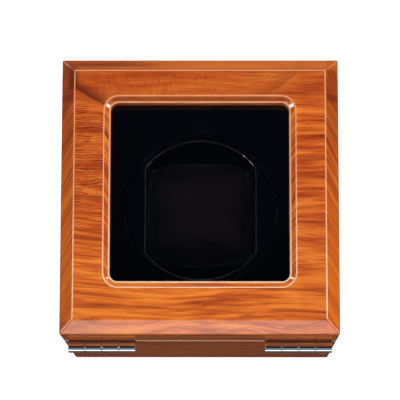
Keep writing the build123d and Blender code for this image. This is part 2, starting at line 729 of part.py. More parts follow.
jack = block(jack_width, jack_length, control_depth, control_spacing, recess_y,
             control_plate_top)
jack += post(jack_barrel_radius, control_plate_top - jack_recess, control_spacing, recess_y,
             jack_recess)
jack_end = circuit_bottom - 1.3
jack -= post(jack_bore_radius, jack_end - jack_recess, control_spacing, recess_y, jack_recess)
pieces["power_jack"] = jack + post(jack_pin_radius, jack_end - jack_recess - 1, control_spacing,
                                   recess_y, jack_recess + 1.5)

# Lead from the motor down through the bracket and plate to the circuit board

lead_z = (circuit_top + plate_underside) / 2
lead_high = motor_end + 1.5
lead_start = motor_x + motor_radius * 0.4 + 0.3
lead_path = FilletPolyline((lead_start, lead_y, lead_high), (lead_x, lead_y, lead_high),
                           (lead_x, lead_y, lead_z), (board_length / 2 - 4, lead_y, lead_z),
                           radius=[0.45 * (lead_x - lead_start), 3.5 * lead_radius])
lead_section = Plane(lead_path @ 0, z_dir=lead_path % 0) * Circle(lead_radius)
pieces["motor_lead"] = sweep(lead_section, path=lead_path)

# Magnets

pieces["case_magnets"] = Compound(children=[
    post(magnet_radius, magnet_depth, sx * magnet_offset, magnet_y, wall_top - magnet_depth)
    for sx in (-1, 1)])
pieces["lid_magnets"] = Compound(children=[
    post(magnet_radius, magnet_depth, sx * magnet_offset, magnet_y, lid_bottom)
    for sx in (-1, 1)])

# Hinges: knuckles in turn on the lid leaf and the case leaf, on one pin

knuckle_length = (hinge_length - (knuckle_count - 1) * knuckle_gap) / knuckle_count


def barrel(radius, start, length):
    middle = start + length / 2
    return Pos(middle, hinge_y, hinge_z) * Rot(0, 90, 0) * Cylinder(radius, length)


def hinge_leaf(sx, first_knuckle, plate_z, bore_radius):
    start = sx * hinge_offset - hinge_length / 2
    depth = -case_length / 2 + leaf_reach - hinge_y
    leaf = block(hinge_length, depth, leaf_thickness, sx * hinge_offset, hinge_y + depth / 2,
                 plate_z)
    for index in range(knuckle_count):
        knuckle_start = start + index * (knuckle_length + knuckle_gap)
        if index % 2 == first_knuckle:
            leaf += barrel(barrel_radius, knuckle_start, knuckle_length)
        else:
            leaf -= barrel(barrel_radius + notch_clearance, knuckle_start - knuckle_gap,
                           knuckle_length + 2 * knuckle_gap)
    return leaf - barrel(bore_radius, start, hinge_length)


for name, sx in hinge_sides.items():
    case_leaf = hinge_leaf(sx, 1, wall_top - leaf_thickness, hinge_pin_radius + push_clearance)
    lid_leaf = hinge_leaf(sx, 0, lid_bottom, hinge_pin_radius + running_clearance)
    for x, y in leaf_screws:
        case_leaf -= countersunk(x, y, wall_top, -1, push_clearance)
        lid_leaf -= countersunk(x, y, lid_bottom, 1, push_clearance)
    pieces[f"{name}_hinge_case_leaf"] = case_leaf
    pieces[f"{name}_hinge_lid_leaf"] = lid_leaf
    pieces[f"{name}_hinge_pin"] = barrel(hinge_pin_radius, sx * hinge_offset - hinge_length / 2,
                                         hinge_length)
pieces["case_hinge_screws"] = Compound(children=[countersunk(x, y, wall_top, -1)
                                                 for x, y in leaf_screws])
pieces["lid_hinge_screws"] = Compound(children=[countersunk(x, y, lid_bottom, 1)
                                                for x, y in leaf_screws])

os.makedirs("parts", exist_ok=True)
for name, shape in pieces.items():
    export_step(shape, f"parts/{name}.step")
    print(f"{name:24s} {shape.volume:10.1f} mm3")
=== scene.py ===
import json
import math

import bpy
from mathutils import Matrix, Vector

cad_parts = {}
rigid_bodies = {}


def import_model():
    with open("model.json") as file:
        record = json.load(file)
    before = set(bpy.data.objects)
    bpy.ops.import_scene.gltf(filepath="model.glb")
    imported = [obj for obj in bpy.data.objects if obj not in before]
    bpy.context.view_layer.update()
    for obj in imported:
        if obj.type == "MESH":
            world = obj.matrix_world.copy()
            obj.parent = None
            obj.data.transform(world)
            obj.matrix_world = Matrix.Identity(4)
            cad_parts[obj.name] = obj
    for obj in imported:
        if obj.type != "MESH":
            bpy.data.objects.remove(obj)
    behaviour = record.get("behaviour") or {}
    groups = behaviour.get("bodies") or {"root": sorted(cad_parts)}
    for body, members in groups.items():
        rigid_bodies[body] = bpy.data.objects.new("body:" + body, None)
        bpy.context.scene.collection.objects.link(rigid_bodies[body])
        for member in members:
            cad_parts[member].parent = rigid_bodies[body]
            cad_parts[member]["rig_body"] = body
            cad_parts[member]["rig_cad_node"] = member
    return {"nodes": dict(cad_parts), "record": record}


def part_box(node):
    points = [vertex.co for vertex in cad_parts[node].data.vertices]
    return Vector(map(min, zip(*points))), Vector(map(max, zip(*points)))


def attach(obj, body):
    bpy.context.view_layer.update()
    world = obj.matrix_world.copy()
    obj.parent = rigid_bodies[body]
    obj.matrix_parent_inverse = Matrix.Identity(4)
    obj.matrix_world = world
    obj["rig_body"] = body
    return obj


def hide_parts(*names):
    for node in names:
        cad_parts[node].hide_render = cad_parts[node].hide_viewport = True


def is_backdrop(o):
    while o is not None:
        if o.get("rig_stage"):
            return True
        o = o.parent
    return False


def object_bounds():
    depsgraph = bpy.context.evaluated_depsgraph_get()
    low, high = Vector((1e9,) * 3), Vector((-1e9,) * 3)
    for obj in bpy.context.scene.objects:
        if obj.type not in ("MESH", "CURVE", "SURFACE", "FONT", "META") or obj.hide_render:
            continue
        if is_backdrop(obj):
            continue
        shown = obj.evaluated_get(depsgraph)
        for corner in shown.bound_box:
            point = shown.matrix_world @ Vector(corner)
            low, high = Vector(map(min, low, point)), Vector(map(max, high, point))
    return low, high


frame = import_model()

mm = 0.001
nodes = frame["nodes"]
slotOfNode = {part["node"]: part["material_slot"] for part in frame["record"]["subparts"]}
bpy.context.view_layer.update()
print("frame loaded:", len(nodes), "nodes")


def boxOf(node):
    return [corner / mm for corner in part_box(node)]


lidTop = boxOf("lid_top_panel")[1].z


# Editing by hand, in code

def pick(obj):
    bpy.ops.object.select_all(action="DESELECT")
    obj.select_set(True)
    bpy.context.view_layer.objects.active = obj


def openOn(obj, kind, test):
    # Opens obj in edit mode with only the edges or points that pass the test selected;
    # the test gets an edge's two ends, or a point, in mm
    pick(obj)
    bpy.ops.object.mode_set(mode="EDIT")
    bpy.ops.mesh.select_mode(type=kind)
    bpy.ops.mesh.select_all(action="DESELECT")
    bpy.ops.object.mode_set(mode="OBJECT")
    points = [point.co / mm for point in obj.data.vertices]
    if kind == "EDGE":
        for edge in obj.data.edges:
            edge.select = bool(test(points[edge.vertices[0]], points[edge.vertices[1]]))
    else:
        for point, place in zip(obj.data.vertices, points):
            point.select = bool(test(place))
    bpy.ops.object.mode_set(mode="EDIT")


def openWhole(obj):
    pick(obj)
    bpy.ops.object.mode_set(mode="EDIT")
    bpy.ops.mesh.select_all(action="SELECT")


def closeEdit():
    bpy.ops.object.mode_set(mode="OBJECT")


def settle(obj):
    # Puts the place, turn and size of obj into its mesh
    pick(obj)
    bpy.ops.object.transform_apply(location=True, rotation=True, scale=True)


def added(name):
    # Names the object that Blender just made, and settles it
    obj = bpy.context.active_object
    obj.name = name
    settle(obj)
    return obj


def addModifier(obj, kind, **settings):
    pick(obj)
    modifier = obj.modifiers.new(kind.lower(), kind)
    for name, value in settings.items():
        setattr(modifier, name, value)
    bpy.ops.object.modifier_apply(modifier=modifier.name)


def combine(obj, tool, operation):
    addModifier(obj, "BOOLEAN", operation=operation, object=tool, solver="EXACT")
    bpy.data.objects.remove(tool)


def cut(obj, tool):
    combine(obj, tool, "DIFFERENCE")


def weld(obj, part):
    combine(obj, part, "UNION")


def joined(parts, name):
    pick(parts[0])
    for part in parts[1:]:
        part.select_set(True)
    bpy.ops.object.join()
    parts[0].name = name
    return parts[0]


def roundEdges(obj, width, segments, test):
    openOn(obj, "EDGE", test)
    bpy.ops.mesh.bevel(offset=width * mm, segments=segments, affect="EDGES")
    closeEdit()


def smooth(obj, angle=35):
    pick(obj)
    bpy.ops.object.shade_smooth_by_angle(angle=math.radians(angle))
    addModifier(obj, "WEIGHTED_NORMAL", keep_sharp=True, weight=80)


def cube(name, low, high):
    low, high = Vector(low) * mm, Vector(high) * mm
    bpy.ops.mesh.primitive_cube_add(size=1, location=(low + high) / 2)
    bpy.context.active_object.scale = high - low
    return added(name)


def post(name, radius, low, high, x=0.0, y=0.0, segments=32):
    bpy.ops.mesh.primitive_cylinder_add(vertices=segments, radius=radius * mm,
                                        depth=(high - low) * mm,
                                        location=(x * mm, y * mm, (low + high) / 2 * mm))
    return added(name)


def roundedLoop(width, length, radius, z, y=0.0, segments=8):
    bpy.ops.mesh.primitive_plane_add(size=1, location=(0, y * mm, z * mm))
    bpy.context.active_object.scale = (width * mm, length * mm, 1)
    obj = added("loop")
    openOn(obj, "VERT", lambda place: True)
    bpy.ops.mesh.bevel(offset=radius * mm, segments=segments, affect="VERTICES")
    closeEdit()
    return obj


def loft(name, loops):
    # Bridges loops with equal point counts, in their order, and closes both ends
    obj = joined(loops, name)
    openWhole(obj)
    bpy.ops.mesh.select_mode(type="EDGE")
    bpy.ops.mesh.delete(type="ONLY_FACE")
    bpy.ops.mesh.select_all(action="SELECT")
    bpy.ops.mesh.bridge_edge_loops()
    bpy.ops.mesh.select_all(action="DESELECT")
    bpy.ops.mesh.select_non_manifold()
    bpy.ops.mesh.edge_face_add()
    bpy.ops.mesh.select_all(action="SELECT")
    bpy.ops.mesh.normals_make_consistent(inside=False)
    closeEdit()
    return obj


def tubeAlong(loop, name, radius, rings=4):
    # Turns the outline of a flat loop into a closed round bead
    openWhole(loop)
    bpy.ops.mesh.delete(type="ONLY_FACE")
    closeEdit()
    bpy.ops.object.convert(target="CURVE")
    loop = bpy.context.active_object
    loop.data.bevel_depth = radius * mm
    loop.data.bevel_resolution = rings
    bpy.ops.object.convert(target="MESH")
    loop = bpy.context.active_object
    loop.name = name
    smooth(loop, 60)
    return loop


def copyOfNode(node, name):
    # A merged copy of a CAD node's loose triangles
    obj = nodes[node].copy()
    obj.data = nodes[node].data.copy()
    obj.name = name
    obj.parent = None
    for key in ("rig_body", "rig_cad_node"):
        if key in obj:
            del obj[key]
    bpy.context.scene.collection.objects.link(obj)
    openWhole(obj)
    bpy.ops.mesh.customdata_custom_splitnormals_clear()
    bpy.ops.mesh.remove_doubles(threshold=0.001 * mm)
    closeEdit()
    return obj


def dress(obj, material, body, *stoodFor):
    obj.data.materials.clear()
    obj.data.materials.append(material)
    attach(obj, body)
    if stoodFor:
        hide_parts(*stoodFor)
    return obj


def paint(obj, material, test):
    # Gives the faces that pass the test a second material
    obj.data.materials.append(material)
    for face in obj.data.polygons:
        if test(face.center / mm, face.normal):
            face.material_index = len(obj.data.materials) - 1


# Shader nodes

def srgb(red, green, blue):
    def linear(value):
        value /= 255
        return value / 12.92 if value <= 0.04045 else ((value + 0.055) / 1.055) ** 2.4
    return (linear(red), linear(green), linear(blue), 1)


def newMaterial(name):
    material = bpy.data.materials.new(name)
    material.use_nodes = True
    return material, material.node_tree, material.node_tree.nodes["Principled BSDF"]


def addNode(tree, kind, inputs=None, **settings):
    node = tree.nodes.new("ShaderNode" + kind)
    for name, value in settings.items():
        setattr(node, name, value)
    for name, value in (inputs or {}).items():
        if isinstance(value, bpy.types.NodeSocket):
            tree.links.new(value, node.inputs[name])
        else:
            node.inputs[name].default_value = value
    return node


def calc(tree, operation, *values):
    return addNode(tree, "Math", dict(enumerate(values)), operation=operation).outputs[0]


def product(tree, *factors):
    total = factors[0]
    for factor in factors[1:]:
        total = calc(tree, "MULTIPLY", total, factor)
    return total


def offCentre(tree, value, middle):
    return calc(tree, "ABSOLUTE", calc(tree, "SUBTRACT", value, middle))


def fade(tree, value, low, high, start=0.0, end=1.0):
    node = addNode(tree, "MapRange", {"Value": value, "From Min": low, "From Max": high,
                                      "To Min": start, "To Max": end},
                   interpolation_type="SMOOTHSTEP")
    return node.outputs[0]


def noise(tree, vector, sizes, detail=2.0, distortion=0.0, shift=0.0):
    # sizes: how many mm one swell of the noise spans along each axis
    spread = addNode(tree, "VectorMath", {0: vector, 1: tuple(1 / size for size in sizes)},
                     operation="MULTIPLY").outputs[0]
    moved = addNode(tree, "VectorMath", {0: spread, 1: (shift, shift * 0.7, shift * 1.3)},
                    operation="ADD").outputs[0]
    node = addNode(tree, "TexNoise", {"Vector": moved, "Scale": 1.0, "Detail": detail,
                                      "Roughness": 0.55, "Distortion": distortion})
    return node.outputs["Fac"]


def ramp(tree, factor, stops):
    node = addNode(tree, "ValToRGB", {"Fac": factor})
    band = node.color_ramp
    while len(band.elements) < len(stops):
        band.elements.new(0.5)
    for element, (position, colour) in zip(band.elements, stops):
        element.position = position
        element.color = colour
    return node.outputs["Color"]


def stain(tree, colour, paint, *amounts):
    # Lays paint over a colour, as strongly as the amounts multiplied together
    node = addNode(tree, "Mix", data_type="RGBA")
    for index, value in ((0, product(tree, *amounts)), (6, colour), (7, srgb(*paint))):
        if isinstance(value, bpy.types.NodeSocket):
            tree.links.new(value, node.inputs[index])
        else:
            node.inputs[index].default_value = value
    return node.outputs[2]


def placeInMm(tree):
    coordinates = addNode(tree, "TexCoord")
    place = addNode(tree, "VectorMath", {0: coordinates.outputs["Object"], "Scale": 1 / mm},
                    operation="SCALE").outputs[0]
    return place, coordinates.outputs["Normal"]


def axes(tree, vector):
    return addNode(tree, "SeparateXYZ", {0: vector}).outputs


def bump(tree, height, depth):
    return addNode(tree, "Bump", {"Height": height, "Distance": depth * mm,
                                  "Strength": 1.0}).outputs[0]


# Figured veneer under a thick polished lacquer

veneer = {
    "tones": [(0.05, srgb(132, 44, 12)), (0.36, srgb(186, 76, 18)), (0.6, srgb(220, 106, 28)),
              (0.92, srgb(244, 138, 44))],
    "streak": (92, 32, 12), "streakStrength": 0.62,
    # how far each kind of figure spans along the grain, across it and in depth
    "broad": (70, 7, 40), "bands": (34, 1.7, 40), "fibres": (7, 0.3, 20),
    "streaks": (17, 1.25, 30), "patches": (45, 14, 60),
    "broadSwing": 1.7, "bandSwing": 1.9, "fibreSwing": 0.8, "middleTone": 0.6,
    "slant": 1.7,            # how the grain leans through the panel's thickness
    "sway": (60, 40, 60), "swaySize": 9.0,
    "roughness": 0.42, "specular": 0.08, "lacquerRoughness": 0.03, "fibreDepth": 0.02,
}
boards = {"stretch": 0.45, "drift": 0.03, "contrast": 0.6}


def around(tree, value, size, base):
    # base plus what value departs from its middle, times size
    return calc(tree, "MULTIPLY_ADD", calc(tree, "SUBTRACT", value, 0.5), size, base)


def veneerColour(tree, grain, contrast):
    # grain runs along its X; its Y crosses the fibres
    broad = noise(tree, grain, veneer["broad"], 2.0, 0.3)
    bands = noise(tree, grain, veneer["bands"], 3.0, 0.5, 3.0)
    fibres = noise(tree, grain, veneer["fibres"], 2.0, 0.0, 7.0)
    tone = around(tree, broad, veneer["broadSwing"], 0.0)
    tone = around(tree, bands, veneer["bandSwing"], tone)
    tone = calc(tree, "MULTIPLY_ADD", tone, contrast, veneer["middleTone"])
    tone = around(tree, fibres, veneer["fibreSwing"], tone)
    colour = ramp(tree, tone, veneer["tones"])
    streaks = noise(tree, grain, veneer["streaks"], 3.0, 0.9, 11.0)
    patches = noise(tree, grain, veneer["patches"], 1.0, 0.0, 5.0)
    return stain(tree, colour, veneer["streak"], fade(tree, streaks, 0.6, 0.72),
                 fade(tree, patches, 0.42, 0.6), contrast, veneer["streakStrength"])


def lacquer(tree, shader, colour, grain):
    fibres = noise(tree, grain, veneer["fibres"])
    tree.links.new(colour, shader.inputs["Base Color"])
    tree.links.new(bump(tree, fibres, veneer["fibreDepth"]), shader.inputs["Normal"])
    shader.inputs["Roughness"].default_value = veneer["roughness"]
    shader.inputs["Specular IOR Level"].default_value = veneer["specular"]
    shader.inputs["Coat Weight"].default_value = 1.0
    shader.inputs["Coat Roughness"].default_value = veneer["lacquerRoughness"]


def boardVeneer(name, along):
    # Straight-grained boards: along says which axis the fibres follow
    material, tree, shader = newMaterial(name)
    place, _ = placeInMm(tree)
    x, y, z = axes(tree, place)[:3]
    run, depth = (x, y) if along == "x" else (y, x)
    drift = calc(tree, "MULTIPLY_ADD", run, boards["drift"], z)
    grain = addNode(tree, "CombineXYZ", {0: calc(tree, "MULTIPLY", run, boards["stretch"]),
                                         1: drift, 2: depth}).outputs[0]
    lacquer(tree, shader, veneerColour(tree, grain, boards["contrast"]), grain)
    return material


# The lid's panel has its own figure: places are in mm, colours from 0 to 255

curl = {      # tight curl in the left stile, fading towards the near end
    "left": -61.0, "right": -46.5, "far": 46.0, "near": -6.0, "spacing": 1.35,
    "wobble": (5, 3.2, 9), "wobbleSize": 3.4, "patches": (7, 5, 9),
    "ground": (196, 82, 28), "groundStrength": 0.3, "line": (112, 34, 10), "lineStrength": 0.85,
}
farRail = {   # soft ripples across the grain, a redder ground, fine lines on the right
    "ripples": (1.6, 7, 20), "ripple": (158, 56, 22), "rippleStrength": 0.4,
    "ground": (150, 44, 12), "right": (164, 40, 10), "fine": (20, 0.6, 30),
    "fineLine": (96, 28, 10), "fineStrength": 0.6,
}
cornerSwirl = {      # dark curved figure in the far left corner
    "centre": (-11.4, 120.1, 0), "radius": 84.0, "depth": 6.5, "edge": 0.35, "soft": 0.6,
    "unevenness": (9, 9, 20), "unevenSize": 1.6, "colour": (78, 22, 12), "strength": 0.85,
}
# Some of these are painted light and shade: the darkened far side of the window opening, the
# paler near rail, the paler far bevel, the side bevels paler towards the near end and darker
# towards the far end, and the darker left end of the near bevel
shades = {    # colour and greatest strength of what darkens or pales a part of the panel
    "corner": ((62, 18, 14), 0.8), "farLine": ((84, 26, 14), 0.6),
    "flare": ((110, 34, 14), 0.6), "farWindowShade": ((104, 30, 12), 0.55),
    "nearRailLight": ((236, 124, 44), 0.12), "leftStile": ((160, 52, 12), 0.2),
    "farBevelLight": ((255, 136, 52), 0.55), "sideBevelLight": ((250, 120, 36), 0.35),
    "nearCorner": ((140, 66, 60), 0.4), "farSideShade": ((140, 44, 18), 0.3),
}


def curlColour(tree, colour, place, x, y):
    patch = product(tree, fade(tree, x, curl["right"] + 0.6, curl["right"] - 0.6),
                    fade(tree, x, curl["left"] - 0.8, curl["left"] + 0.8),
                    fade(tree, y, curl["far"], curl["far"] - 5),
                    fade(tree, y, curl["near"] - 20, curl["near"] + 10))
    wobble = calc(tree, "MULTIPLY", noise(tree, place, curl["wobble"]), curl["wobbleSize"])
    wave = calc(tree, "SINE", calc(tree, "MULTIPLY", calc(tree, "ADD", y, wobble),
                                   2 * math.pi / curl["spacing"]))
    broken = fade(tree, noise(tree, place, curl["patches"], 2.0, 0.0, 4.0), 0.36, 0.56)
    colour = stain(tree, colour, curl["ground"], patch, curl["groundStrength"])
    return stain(tree, colour, curl["line"], fade(tree, wave, -0.3, 0.9), broken, patch,
                 curl["lineStrength"])


def farRailColour(tree, colour, place, grain, x, y):
    ripple = fade(tree, noise(tree, place, farRail["ripples"], 2.0, 0.4, 9.0), 0.52, 0.68)
    colour = stain(tree, colour, farRail["ripple"], ripple, fade(tree, y, 44, 50),
                   fade(tree, x, 25, -20), farRail["rippleStrength"])
    colour = stain(tree, colour, farRail["ground"], fade(tree, y, 43, 49, 0.0, 0.34))
    colour = stain(tree, colour, farRail["right"], fade(tree, x, 46, 50, 0.0, 0.2))
    fine = fade(tree, noise(tree, grain, farRail["fine"], 3.0, 0.6, 21.0), 0.54, 0.66)
    return stain(tree, colour, farRail["fineLine"], fine, fade(tree, x, 5, 22),
                 fade(tree, y, 45, 50), farRail["fineStrength"])


def swirlColour(tree, colour, place, x, y):
    values, radius = cornerSwirl, cornerSwirl["radius"]
    flat = addNode(tree, "CombineXYZ", {0: x, 1: y}).outputs[0]
    reach = addNode(tree, "VectorMath", {0: flat, 1: values["centre"]},
                    operation="DISTANCE").outputs["Value"]
    reach = around(tree, noise(tree, place, values["unevenness"]), values["unevenSize"], reach)
    return stain(tree, colour, values["colour"],
                 fade(tree, reach, radius + values["edge"], radius - values["edge"]),
                 fade(tree, reach, radius - values["depth"], radius - values["soft"]),
                 fade(tree, x, -42, -50, 0.35, 1.0), fade(tree, x, -61.6, -60.4),
                 values["strength"])


def panelVeneer():
    # Grain along X, leaning through the bevels
    material, tree, shader = newMaterial("panelVeneer")
    place, normal = placeInMm(tree)
    x, y, z = axes(tree, place)[:3]
    lean = calc(tree, "MULTIPLY", calc(tree, "SUBTRACT", z, lidTop), veneer["slant"])
    sway = noise(tree, place, veneer["sway"], 1.0)
    across = around(tree, sway, veneer["swaySize"], calc(tree, "SUBTRACT", y, lean))
    topGrain = addNode(tree, "CombineXYZ", {0: x, 1: across, 2: 0.0}).outputs[0]
    edgeGrain = addNode(tree, "CombineXYZ", {0: y, 1: z, 2: x}).outputs[0]
    onSide = calc(tree, "GREATER_THAN", calc(tree, "ABSOLUTE", axes(tree, normal)[0]), 0.93)
    grain = addNode(tree, "Mix", data_type="VECTOR")
    for index, socket in ((0, onSide), (4, topGrain), (5, edgeGrain)):
        tree.links.new(socket, grain.inputs[index])
    grain = grain.outputs[1]

    colour = veneerColour(tree, grain, fade(tree, y, 41, 48, 1.0, 0.55))
    colour = curlColour(tree, colour, place, x, y)
    colour = farRailColour(tree, colour, place, grain, x, y)
    colour = swirlColour(tree, colour, place, x, y)
    flareLine = calc(tree, "MULTIPLY_ADD", x, 0.13, -62.1)      # climbs to the right
    onSideBevels = fade(tree, calc(tree, "ABSOLUTE", x), 61, 62.5)
    extents = {
        "corner": (fade(tree, offCentre(tree, x, -61.9), 3.2, 0.8), fade(tree, y, 49.5, 53),
                   fade(tree, y, 66, 61)),
        "farLine": (fade(tree, offCentre(tree, y, 64.6), 1.6, 0.3), fade(tree, x, -64, -56),
                    fade(tree, x, -14, -34)),
        "flare": (fade(tree, offCentre(tree, flareLine, y), 1.2, 0.2),
                  fade(tree, offCentre(tree, x, 22.3), 6.0, 1.0)),
        # painted shade: the far side of the window opening darkened below the top face
        "farWindowShade": (fade(tree, z, lidTop - 0.3, lidTop - 0.8), fade(tree, y, 45.6, 46.2),
                      fade(tree, y, 50, 49)),
        # painted light: the panel growing paler towards the near rail
        "nearRailLight": (fade(tree, y, 20, -62),),
        "leftStile": (fade(tree, x, -44, -50), fade(tree, y, -30, 30)),
        # painted light: the far bevel made paler, most at its right end
        "farBevelLight": (fade(tree, y, 61, 62.5), fade(tree, x, -50, 10, 1 / 11, 1.0)),
        # painted light: the side bevels paler towards the near end
        "sideBevelLight": (onSideBevels, fade(tree, y, 40, -30)),
        # painted shade: the near bevel darker at its left end
        "nearCorner": (fade(tree, y, -61, -62.5), fade(tree, x, -34, -60)),
        # painted shade: the side bevels darker towards the far end
        "farSideShade": (onSideBevels, fade(tree, y, 0, 40)),
    }
    for name, extent in extents.items():
        paint, strength = shades[name]
        colour = stain(tree, colour, paint, *extent, strength)
    lacquer(tree, shader, colour, grain)
    return material


# The other finishes

def finish(name, first, second, speck, roughness, bumpDepth=0.0, spread=(1, 1, 1),
           metal=0.0, coat=0.0, sheen=0.0, swing=0.06):
    # Two tones in specks of a size, with a roughness that swings round its middle value
    material, tree, shader = newMaterial(name)
    place, _ = placeInMm(tree)
    specks = noise(tree, place, tuple(speck * part for part in spread), 3.0)
    tree.links.new(ramp(tree, specks, [(0.35, srgb(*first)), (0.65, srgb(*second))]),
                   shader.inputs["Base Color"])
    wide = noise(tree, place, (speck * 9,) * 3, 2.0, 0.0, 2.0)
    tree.links.new(fade(tree, wide, 0.3, 0.7, max(0.02, roughness - swing), roughness + swing),
                   shader.inputs["Roughness"])
    if bumpDepth:
        tree.links.new(bump(tree, specks, bumpDepth), shader.inputs["Normal"])
    shader.inputs["Metallic"].default_value = metal
    shader.inputs["Coat Weight"].default_value = coat
    shader.inputs["Sheen Weight"].default_value = sheen
    if sheen:
        shader.inputs["Sheen Roughness"].default_value = 0.4
        shader.inputs["Specular IOR Level"].default_value = 0.1
    return material


def paintedHighlightEdge():
    # Painted highlight on ridges and rims, paler towards the hinges
    material, tree, shader = newMaterial("paintedHighlightEdge")
    place, _ = placeInMm(tree)
    near = fade(tree, axes(tree, place)[1], 25, -50)
    specks = fade(tree, noise(tree, place, (2.5, 2.5, 2.5), 3.0), 0.35, 0.65)
    colour = stain(tree, srgb(242, 160, 104), (255, 214, 176), near)
    colour = stain(tree, colour, (226, 140, 86), specks, 0.3)
    tree.links.new(colour, shader.inputs["Base Color"])
    shader.inputs["Roughness"].default_value = 0.35
    shader.inputs["Coat Weight"].default_value = 1.0
    return material


def clearPane():
    material, tree, shader = newMaterial("clearPane")
    place, _ = placeInMm(tree)
    tint = noise(tree, place, (40, 40, 40), 1.0)
    tree.links.new(ramp(tree, tint, [(0.3, (0.97, 0.98, 0.98, 1)), (0.7, (1, 1, 1, 1))]),
                   shader.inputs["Base Color"])
    shader.inputs["Roughness"].default_value = 0.0
    shader.inputs["Transmission Weight"].default_value = 1.0
    shader.inputs["IOR"].default_value = 1.5
    return material


materials = {
    "panel": panelVeneer(),
    "alongX": boardVeneer("frontVeneer", "x"),
    "alongY": boardVeneer("sideVeneer", "y"),
    "window_glass": clearPane(),
    "black_lacquer": finish("blackLacquer", (6, 6, 7), (11, 11, 12), 4, 0.12, coat=0.6),
    "black_velvet": finish("blackVelvet", (3, 4, 8), (10, 12, 18), 0.22, 0.95, 0.05,
                           sheen=0.1),
    "base_felt": finish("baseFelt", (20, 20, 21), (44, 43, 43), 0.35, 0.95, 0.12,
                        sheen=0.3),
    "plywood": finish("plywood", (176, 132, 88), (204, 164, 118), 1.2, 0.7, 0.03,
                      spread=(12, 1, 1)),
    "cushion_leather": finish("cushionSuede", (26, 20, 19), (44, 35, 33), 0.35, 0.75, 0.04,
                              sheen=0.35),
    "drum_black": finish("drumBlack", (5, 5, 7), (9, 9, 11), 6, 0.09, coat=0.5, swing=0.03),
    "white_nylon": finish("whiteNylon", (226, 224, 214), (238, 237, 230), 2, 0.42, 0.01),
    "bronze": finish("sinteredBronze", (158, 112, 62), (190, 142, 86), 0.25, 0.38, 0.01,
                     metal=1.0),
    "steel": finish("zincSteel", (168, 170, 174), (196, 198, 202), 1.5, 0.28, metal=1.0),
    "aluminium": finish("turnedAluminium", (196, 198, 202), (214, 215, 218), 0.3, 0.33,
                        0.005, spread=(1, 1, 8), metal=1.0),
    "control_black": finish("controlBlack", (24, 24, 25), (34, 34, 35), 0.4, 0.5, 0.03),
    "board_green": finish("boardGreen", (14, 84, 44), (22, 108, 56), 0.9, 0.35, coat=0.3),
    "lead_rubber": finish("leadRubber", (120, 14, 14), (142, 20, 18), 0.8, 0.5),
    "magnet": finish("nickel", (190, 190, 194), (212, 212, 214), 2, 0.2, metal=1.0),
    "hinge_chrome": finish("hingeChrome", (204, 206, 210), (214, 216, 220), 5, 0.05,
                           metal=1.0, swing=0.02),
    # painted highlight, for rounded ridges, rims, the window bead and the joint chamfer
    "edge": paintedHighlightEdge(),
    "marks": finish("printedMarks", (214, 214, 208), (226, 226, 222), 0.3, 0.6),
}
boardFinish = {"hinge": "alongX", "front": "alongX", "left": "alongY", "right": "alongY"}
for name, obj in nodes.items():
    slot = slotOfNode[name]
    if slot == "gloss_wood":
        slot = "panel" if name == "lid_top_panel" else boardFinish[name.split("_")[-1]]
    obj.data.materials.clear()
    obj.data.materials.append(materials[slot])
print("finishes on", len(nodes), "nodes")


# Lid panel with rounded ridges and window edges

lidPanel = {
    "bevel": 6.5, "ridgeRounding": 0.65,
    "windowRadius": 4.4, "windowBevel": 2.8, "windowBevelDepth": 2.6, "windowRounding": 0.6,
    "hingeRail": 15.6, "frontRail": 12.7, "stile": 14.5, "rabbetTop": 9.3, "rabbetLap": 3.2,
    "beadRadius": 0.55, "beadSet": 0.4, "beadLift": 0.05,
    "outerBand": 8.0,        # edges this near the panel's outline are its outer ones
}


